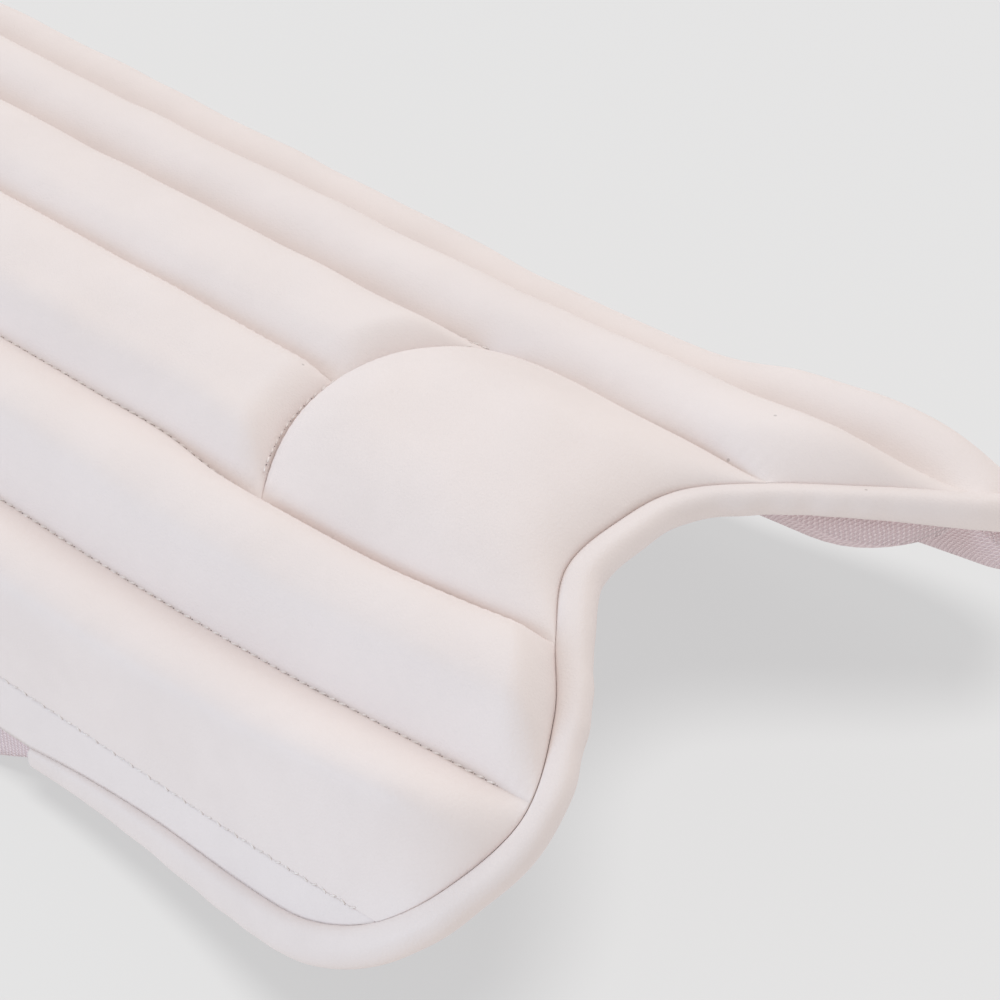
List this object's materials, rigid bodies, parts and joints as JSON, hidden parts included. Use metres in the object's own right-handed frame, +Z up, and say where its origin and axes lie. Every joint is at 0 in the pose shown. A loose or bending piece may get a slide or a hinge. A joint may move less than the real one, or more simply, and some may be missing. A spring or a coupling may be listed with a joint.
{
  "type": "wicket keeping pad",
  "caption": "Curved white leather leg pad with long padded shin rolls, an instep block over an arched foot cut, knee rolls, a round bound edge, a mesh lining and straps across the open back.",
  "frame": {"origin": "on the floor under the centre of the pad's box, as it lies face up", "axes": "+X along the pad to its foot end, +Y across it to the far side, +Z up out of its face"},
  "size_m": [0.6474, 0.2556, 0.1018],
  "materials": {
    "white_leather": "soft matt grain",
    "strip_leather": "smooth matt grain",
    "binding_leather": "soft satin grain",
    "air_mesh": "open knitted mesh",
    "webbing": "flat woven band"
  },
  "bodies": {
    "root": {"shin_roll_1": "white_leather", "shin_roll_2": "white_leather", "shin_roll_3": "white_leather", "shin_roll_4": "white_leather", "shin_roll_5": "white_leather", "shin_roll_6": "white_leather", "instep_block": "white_leather", "knee_roll_1": "white_leather", "knee_roll_2": "white_leather", "knee_roll_3": "white_leather", "top_panel": "white_leather", "side_strip_near": "strip_leather", "side_strip_far": "strip_leather", "foot_binding": "binding_leather", "top_binding": "binding_leather", "mesh_lining": "air_mesh", "strap_lower": "webbing", "strap_upper": "webbing"}
  },
  "joints": []
}
